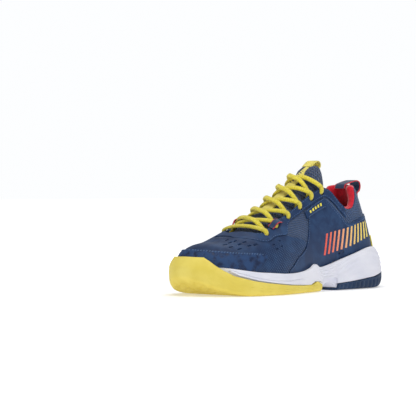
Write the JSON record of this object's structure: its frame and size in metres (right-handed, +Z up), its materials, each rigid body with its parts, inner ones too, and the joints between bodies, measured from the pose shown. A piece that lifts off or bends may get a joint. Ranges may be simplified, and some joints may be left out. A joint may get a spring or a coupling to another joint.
{
  "type": "court shoe",
  "caption": "Low indoor court shoe for the left foot, with a laced mesh upper, padded collar and tongue, foam midsole and split rubber outsole.",
  "frame": {"origin": "on the ground, under the middle of the shoe's box", "axes": "+X from heel to toe, +Y to the wearer's left (outer side), +Z up"},
  "size_m": [0.2796, 0.103, 0.1301],
  "materials": {
    "front_rubber": "matte moulded gum rubber, yellow",
    "heel_rubber": "matte moulded rubber",
    "midsole_foam": "satin moulded foam, white",
    "shank_plastic": "satin nylon",
    "board": "stitched non-woven board",
    "sockliner_cloth": "cloth-topped foam",
    "mesh_cloth": "open knitted mesh",
    "lining_cloth": "brushed lining",
    "stiffener": "thermoplastic sheet",
    "overlay_synthetic": "smooth synthetic leather, satin, graded red to yellow bars on the quarters",
    "guard_synthetic": "grained abrasion-resistant synthetic",
    "wedge_plastic": "satin moulded plastic",
    "label": null,
    "foam": "open-cell foam",
    "collar_cloth": "brushed red cloth",
    "tongue_cloth": "spacer mesh",
    "strap_cloth": null,
    "webbing": "woven tape with red edges",
    "pull_cloth": "woven tape",
    "lace_cloth": "flat braided polyester"
  },
  "bodies": {
    "shoe": {"outsole_front": "front_rubber", "outsole_heel": "heel_rubber", "midsole": "midsole_foam", "shank_plate": "shank_plastic", "strobel_board": "board", "sockliner": "sockliner_cloth", "upper_mesh": "mesh_cloth", "inner_lining": "lining_cloth", "toe_puff": "stiffener", "heel_counter": "stiffener", "vamp_overlay": "overlay_synthetic", "toe_guard": "guard_synthetic", "eyestay": "overlay_synthetic", "quarter_overlay_lateral": "overlay_synthetic", "quarter_overlay_medial": "overlay_synthetic", "heel_backstay": "guard_synthetic", "heel_wedge": "wedge_plastic", "side_label": "label", "collar_foam": "foam", "collar_lining": "collar_cloth", "tongue_cover": "tongue_cloth", "tongue_foam": "foam", "tongue_lining": "tongue_cloth", "tongue_strap": "strap_cloth", "lace": "lace_cloth", "lace_keeper_lateral": "webbing", "lace_keeper_medial": "webbing"},
    "tongue_flap": {"tongue_flap_cover": "tongue_cloth", "tongue_flap_foam": "foam", "tongue_flap_lining": "tongue_cloth", "tongue_flap_strap": "strap_cloth"},
    "tongue_pull": {"tongue_pull": "pull_cloth"},
    "heel_pull": {"heel_pull": "webbing"}
  },
  "joints": [
    {"name": "tongue_fold", "type": "hinge", "parent": "shoe", "child": "tongue_flap", "pos_m": [-0.0351, -0.0064, 0.1167], "axis": [0, 1, 0], "range_deg": [-3, 15], "stiffness_Nm_per_rad": 0.05},
    {"name": "tongue_pull_flex", "type": "hinge", "parent": "tongue_flap", "child": "tongue_pull", "pos_m": [-0.0444, -0.0059, 0.1236], "axis": [0, 1, 0], "range_deg": [0, 30], "stiffness_Nm_per_rad": 0.005},
    {"name": "heel_pull_flex", "type": "hinge", "parent": "shoe", "child": "heel_pull", "pos_m": [-0.0913, -0.0005, 0.1056], "axis": [0, 1, 0], "range_deg": [0, 40], "stiffness_Nm_per_rad": 0.01}
  ]
}
